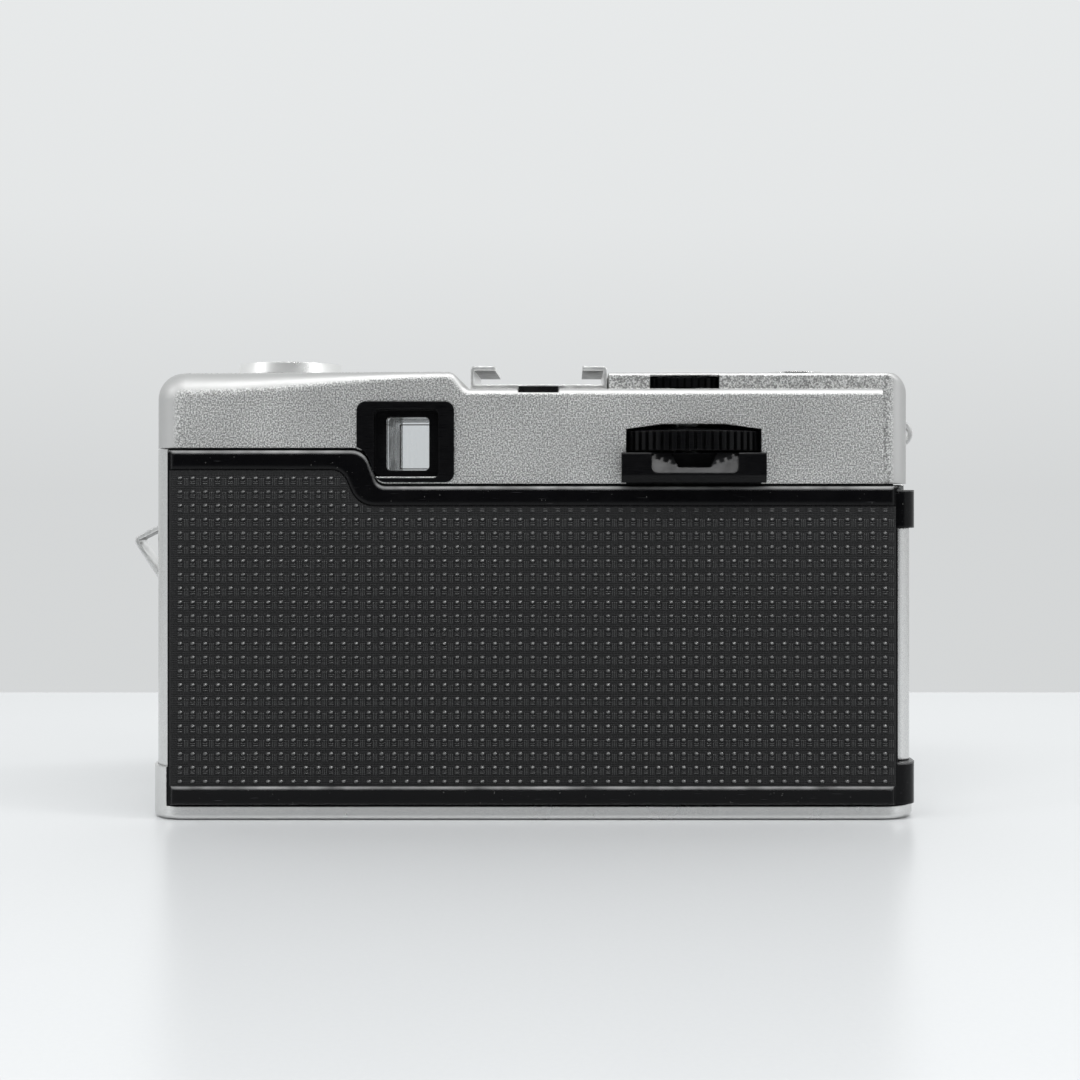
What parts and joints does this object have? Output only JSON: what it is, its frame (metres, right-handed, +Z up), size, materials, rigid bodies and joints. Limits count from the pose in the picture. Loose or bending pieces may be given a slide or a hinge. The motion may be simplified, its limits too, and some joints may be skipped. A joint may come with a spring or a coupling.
{
  "type": "half frame camera",
  "caption": "Compact half frame film camera with hinged leatherette back, thumb wheel film advance, hot shoe, rewind knob and fixed lens with a light cell ring.",
  "frame": {"origin": "centre of the tripod socket's mouth, on the bottom plate's resting face", "axes": "+X to the viewer's right, +Y forwards out of the lens, +Z up out of the top cover"},
  "size_m": [0.1166, 0.0487, 0.0657],
  "materials": {
    "silver_cover": "satin granular silver finish",
    "silver_body": "satin silver finish",
    "bright_chrome": "bright plated",
    "steel": "plain steel",
    "gloss_black": "gloss black enamel",
    "satin_black": "satin black enamel",
    "black_plastic": "moulded black",
    "leatherette": "black textured leatherette",
    "cast_alloy": "die-cast, black inside",
    "foam": "black foam",
    "glass": "clear coated glass",
    "smoke_plastic": "clear plastic",
    "cell": "grey selenium layer",
    "line_white": "pale frame line",
    "brass": "machined brass"
  },
  "bodies": {
    "camera": {"main_chassis": "cast_alloy", "front_shell": "silver_body", "front_leatherette": "leatherette", "top_cover": "silver_cover", "top_cover_screws": "bright_chrome", "bottom_plate": "silver_body", "bottom_plate_screws": "bright_chrome", "tripod_bush": "bright_chrome", "hinge_barrel": "silver_body", "wheel_guard": "gloss_black", "hot_shoe": "bright_chrome", "shoe_insulator": "black_plastic", "shoe_contact": "brass", "shoe_screws": "bright_chrome", "sync_socket": "bright_chrome", "strap_eyelet": "bright_chrome", "eyepiece_surround": "black_plastic", "eyepiece_lens": "glass", "finder_housing": "black_plastic", "bright_frame": "line_white", "finder_front_window": "smoke_plastic", "counter_window": "smoke_plastic", "top_bracket": "steel", "release_collar": "bright_chrome", "release_spring": "steel", "lens_tube": "satin_black", "front_bezel": "silver_body", "selenium_cell": "cell", "cell_window": "smoke_plastic", "front_element": "glass", "middle_element": "glass", "rear_element": "glass", "shutter_housing": "satin_black", "meter_movement": "steel", "latch_spring": "steel"},
    "back": {"back_door": "gloss_black", "door_leatherette": "leatherette", "hinge_pin": "steel", "pressure_spring": "steel", "light_seal_foam": "foam"},
    "pressure_plate": {"pressure_plate": "satin_black"},
    "latch": {"latch_tab": "bright_chrome", "latch_slide": "steel"},
    "advance": {"advance_wheel": "satin_black", "advance_shaft": "steel", "film_sprocket": "satin_black"},
    "spool": {"take_up_spool": "black_plastic", "spool_gear": "brass"},
    "counter": {"counter_dial": "satin_black"},
    "rewind_lift": {"rewind_collar": "brass"},
    "rewind": {"rewind_shaft": "steel", "rewind_knob": "silver_cover"},
    "crank": {"rewind_crank": "bright_chrome"},
    "release": {"shutter_button": "bright_chrome"},
    "rewind_release": {"rewind_release_button": "bright_chrome"},
    "aperture": {"aperture_ring": "silver_body"},
    "film_speed": {"film_speed_ring": "satin_black"},
    "blade_left": {"shutter_blade_left": "satin_black"},
    "blade_right": {"shutter_blade_right": "satin_black"},
    "needle": {"meter_needle": "line_white"}
  },
  "joints": [
    {"name": "back_door_hinge", "type": "hinge", "parent": "camera", "child": "back", "pos_m": [0.052, -0.0096, 0.025], "axis": [0, 0, 1], "range_deg": [0, 110]},
    {"name": "pressure_plate_float", "type": "slide", "parent": "back", "child": "pressure_plate", "axis": [0, -1, 0], "range_m": [0, 0.0003], "stiffness_N_per_m": 200},
    {"name": "latch_slide_down", "type": "slide", "parent": "camera", "child": "latch", "axis": [0, 0, -1], "range_m": [0, 0.003], "stiffness_N_per_m": 150, "springref_m": -0.002, "deforming": ["latch_spring"]},
    {"name": "advance_turn", "type": "hinge", "parent": "camera", "child": "advance", "pos_m": [0.02295, -0.0056, 0.054], "axis": [0, 0, 1], "continuous": true},
    {"name": "spool_turn", "type": "hinge", "parent": "camera", "child": "spool", "pos_m": [0.03942, -0.0023, 0.025], "axis": [0, 0, 1], "continuous": true},
    {"name": "counter_turn", "type": "hinge", "parent": "camera", "child": "counter", "pos_m": [0.0218, -0.0023, 0.062], "axis": [0, 0, 1], "continuous": true},
    {"name": "rewind_pull", "type": "slide", "parent": "camera", "child": "rewind_lift", "axis": [0, 0, 1], "range_m": [0, 0.007]},
    {"name": "rewind_turn", "type": "hinge", "parent": "rewind_lift", "child": "rewind", "pos_m": [-0.03665, -0.001, 0.064], "axis": [0, 0, 1], "continuous": true},
    {"name": "crank_fold", "type": "hinge", "parent": "rewind", "child": "crank", "pos_m": [-0.04025, -0.001, 0.06505], "axis": [0, -1, 0], "range_deg": [0, 150]},
    {"name": "shutter_press", "type": "slide", "parent": "camera", "child": "release", "axis": [0, 0, -1], "range_m": [0, 0.002], "stiffness_N_per_m": 300, "springref_m": -0.001, "deforming": ["release_spring"]},
    {"name": "rewind_release_press", "type": "slide", "parent": "camera", "child": "rewind_release", "axis": [0, 0, 1], "range_m": [0, 0.0008], "stiffness_N_per_m": 300, "springref_m": -0.0005},
    {"name": "aperture_turn", "type": "hinge", "parent": "camera", "child": "aperture", "pos_m": [0, 0.02, 0.027], "axis": [0, 1, 0], "range_deg": [0, 75]},
    {"name": "film_speed_turn", "type": "hinge", "parent": "camera", "child": "film_speed", "pos_m": [0, 0.0235, 0.027], "axis": [0, 1, 0], "range_deg": [0, 60]},
    {"name": "shutter_open", "type": "hinge", "parent": "camera", "child": "blade_left", "pos_m": [-0.005, 0.016, 0.0385], "axis": [0, 1, 0], "range_deg": [0, 28], "stiffness_Nm_per_rad": 0.00005, "springref_deg": -11.46},
    {"name": "shutter_open_right", "type": "hinge", "parent": "camera", "child": "blade_right", "pos_m": [0.005, 0.017, 0.0385], "axis": [0, -1, 0], "range_deg": [0, 28]},
    {"name": "needle_swing", "type": "hinge", "parent": "camera", "child": "needle", "pos_m": [0.0025, 0.003, 0.0568], "axis": [0, 0, 1], "range_deg": [0, 30], "stiffness_Nm_per_rad": 0.00001, "springref_deg": -5.73}
  ],
  "couplings": [
    {"joint": "spool_turn", "follows": "advance_turn", "ratio": -0.64706},
    {"joint": "counter_turn", "follows": "advance_turn", "ratio": 0.027778},
    {"joint": "shutter_open_right", "follows": "shutter_open", "ratio": 1}
  ]
}
